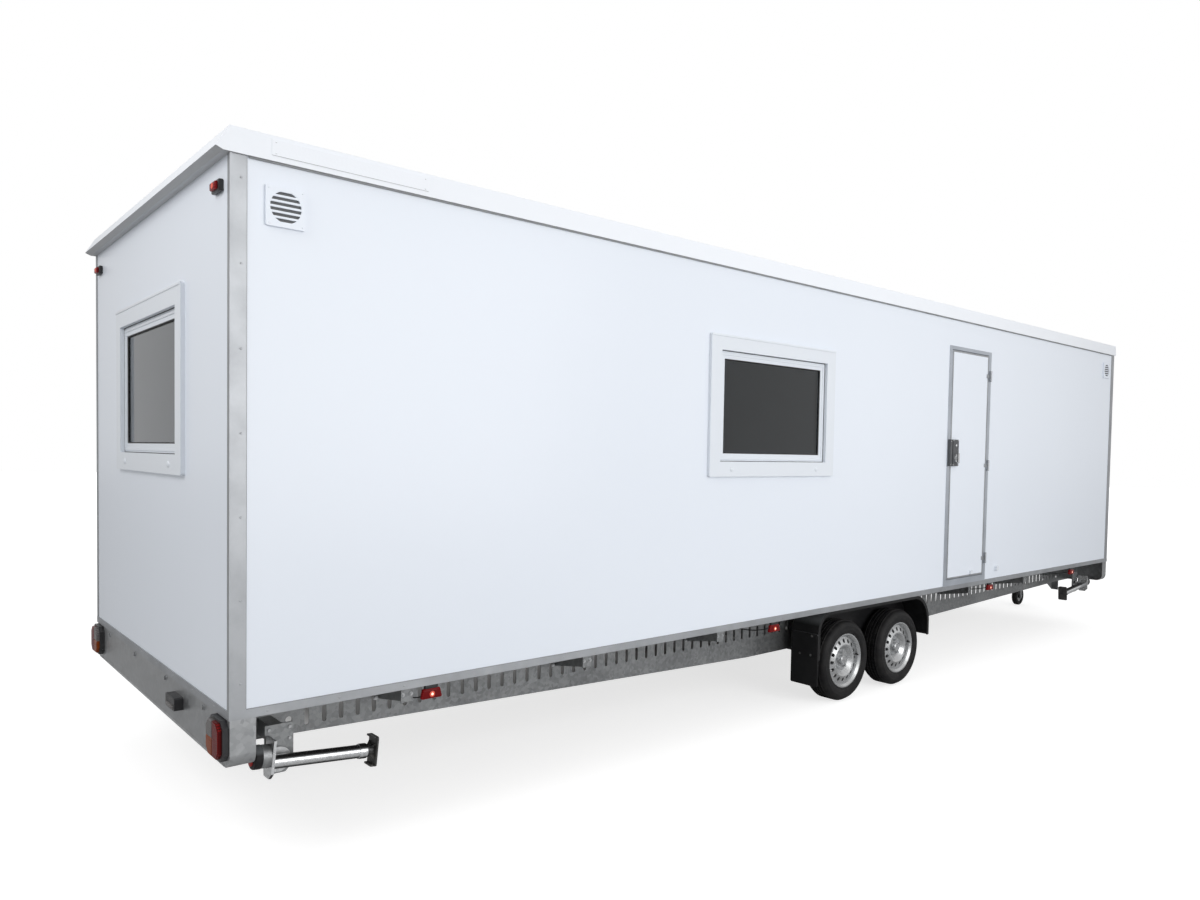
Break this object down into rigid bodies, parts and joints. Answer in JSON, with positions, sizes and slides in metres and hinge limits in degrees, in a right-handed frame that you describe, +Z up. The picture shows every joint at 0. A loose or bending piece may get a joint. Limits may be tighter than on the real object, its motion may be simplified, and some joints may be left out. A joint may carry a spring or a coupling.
{
  "type": "mobile site cabin on a tandem-axle trailer",
  "caption": "Long white panel-walled site cabin on a galvanised trailer chassis, with a side door, framed windows, vents, road wheels, swing-down jack legs and an A-frame drawbar.",
  "frame": {"origin": "on the ground under the middle of the overall length and width", "axes": "+X towards the drawbar, +Y to the left, +Z up"},
  "size_m": [10.92, 2.6223, 3.077],
  "materials": {
    "wall_panel": "smooth bluish white sandwich panel skin",
    "roof_skin": "white roof skin",
    "floor_board": "coated plywood floor",
    "aluminium_trim": "plain aluminium sections",
    "galvanised_steel": "hot-dip galvanised steel",
    "black_plastic": "black moulded plastic",
    "black_steel": "black painted steel",
    "tyre_rubber": "black tyre rubber",
    "rim_silver": "silver painted pressed steel",
    "window_white": "white window plastic",
    "window_glass": "clear double glazing",
    "lamp_red": "red lamp lens",
    "lock_grey": "dark grey lock case",
    "bright_handle": "bright metal handle"
  },
  "bodies": {
    "cabin": {"floor_panel": "floor_board", "roof_panel": "roof_skin", "roof_cap": "roof_skin", "corner_trims": "aluminium_trim", "bottom_rail": "aluminium_trim", "door_frame": "aluminium_trim", "door_hinges": "aluminium_trim", "door_strike": "lock_grey", "wall_catch": "window_white", "window_frames": "window_white", "window_sashes": "window_white", "window_panes": "window_glass", "vent_grilles": "window_white", "main_beams": "galvanised_steel", "cross_members": "galvanised_steel", "axles": "galvanised_steel", "mudguards": "black_plastic", "mud_flaps": "black_plastic", "end_boards": "galvanised_steel", "tail_lamps": "black_plastic", "tail_lamp_lenses": "lamp_red", "marker_lamps": "lamp_red", "drawbar": "galvanised_steel", "towing_eye": "galvanised_steel", "jockey_post": "galvanised_steel", "leg_mounts": "galvanised_steel", "rear_wall": "wall_panel", "front_wall": "wall_panel", "left_wall": "wall_panel", "right_wall_rear": "wall_panel", "right_wall_front": "wall_panel", "right_wall_lintel": "wall_panel"},
    "door": {"door_leaf": "wall_panel", "door_hinge_straps": "aluminium_trim", "door_lock": "lock_grey", "door_clip": "window_white"},
    "door_handle": {"door_handle": "bright_handle"},
    "wheel_rear_right": {"tyre_rear_right": "tyre_rubber", "rim_rear_right": "rim_silver"},
    "leg_rear_right": {"leg_tube_rear_right": "galvanised_steel"},
    "foot_rear_right": {"leg_foot_rear_right": "black_steel"},
    "wheel_rear_left": {"tyre_rear_left": "tyre_rubber", "rim_rear_left": "rim_silver"},
    "leg_rear_left": {"leg_tube_rear_left": "galvanised_steel"},
    "foot_rear_left": {"leg_foot_rear_left": "black_steel"},
    "wheel_front_right": {"tyre_front_right": "tyre_rubber", "rim_front_right": "rim_silver"},
    "leg_front_right": {"leg_tube_front_right": "galvanised_steel"},
    "foot_front_right": {"leg_foot_front_right": "black_steel"},
    "wheel_front_left": {"tyre_front_left": "tyre_rubber", "rim_front_left": "rim_silver"},
    "leg_front_left": {"leg_tube_front_left": "galvanised_steel"},
    "foot_front_left": {"leg_foot_front_left": "black_steel"},
    "jockey_fork": {"jockey_fork": "galvanised_steel"},
    "jockey_wheel": {"jockey_wheel": "tyre_rubber"}
  },
  "joints": [
    {"name": "door_swing", "type": "hinge", "parent": "cabin", "child": "door", "pos_m": [1.06, -1.288, 1.735], "axis": [0, 0, 1], "range_deg": [0, 175]},
    {"name": "door_handle_turn", "type": "hinge", "parent": "door", "child": "door_handle", "pos_m": [0.452, -1.3, 1.816], "axis": [0, 1, 0], "range_deg": [0, 90]},
    {"name": "wheel_rear_right_roll", "type": "hinge", "parent": "cabin", "child": "wheel_rear_right", "pos_m": [-0.9925, -1.153, 0.3], "axis": [0, 1, 0], "continuous": true},
    {"name": "leg_rear_right_swing", "type": "hinge", "parent": "cabin", "child": "leg_rear_right", "pos_m": [-5.15, -1.16, 0.448], "axis": [0, 1, 0], "range_deg": [0, 84.5]},
    {"name": "leg_rear_right_extend", "type": "slide", "parent": "leg_rear_right", "child": "foot_rear_right", "axis": [0.9954, 0, -0.0958], "range_m": [0, 0.25]},
    {"name": "wheel_rear_left_roll", "type": "hinge", "parent": "cabin", "child": "wheel_rear_left", "pos_m": [-0.9925, 1.153, 0.3], "axis": [0, 1, 0], "continuous": true},
    {"name": "leg_rear_left_swing", "type": "hinge", "parent": "cabin", "child": "leg_rear_left", "pos_m": [-5.15, 1.16, 0.448], "axis": [0, 1, 0], "range_deg": [0, 84.5]},
    {"name": "leg_rear_left_extend", "type": "slide", "parent": "leg_rear_left", "child": "foot_rear_left", "axis": [0.9954, 0, -0.0958], "range_m": [0, 0.25]},
    {"name": "wheel_front_right_roll", "type": "hinge", "parent": "cabin", "child": "wheel_front_right", "pos_m": [-0.2575, -1.153, 0.3], "axis": [0, 1, 0], "continuous": true},
    {"name": "leg_front_right_swing", "type": "hinge", "parent": "cabin", "child": "leg_front_right", "pos_m": [3.535, -1.16, 0.448], "axis": [0, -1, 0], "range_deg": [0, 84.5]},
    {"name": "leg_front_right_extend", "type": "slide", "parent": "leg_front_right", "child": "foot_front_right", "axis": [-0.9954, 0, -0.0958], "range_m": [0, 0.25]},
    {"name": "wheel_front_left_roll", "type": "hinge", "parent": "cabin", "child": "wheel_front_left", "pos_m": [-0.2575, 1.153, 0.3], "axis": [0, 1, 0], "continuous": true},
    {"name": "leg_front_left_swing", "type": "hinge", "parent": "cabin", "child": "leg_front_left", "pos_m": [3.535, 1.16, 0.448], "axis": [0, -1, 0], "range_deg": [0, 84.5]},
    {"name": "leg_front_left_extend", "type": "slide", "parent": "leg_front_left", "child": "foot_front_left", "axis": [-0.9954, 0, -0.0958], "range_m": [0, 0.25]},
    {"name": "jockey_swivel", "type": "hinge", "parent": "cabin", "child": "jockey_fork", "pos_m": [4.5, -0.105, 0.4], "axis": [0, 0, 1], "continuous": true},
    {"name": "jockey_roll", "type": "hinge", "parent": "jockey_fork", "child": "jockey_wheel", "pos_m": [4.46, -0.105, 0.11], "axis": [0, 1, 0], "continuous": true}
  ]
}
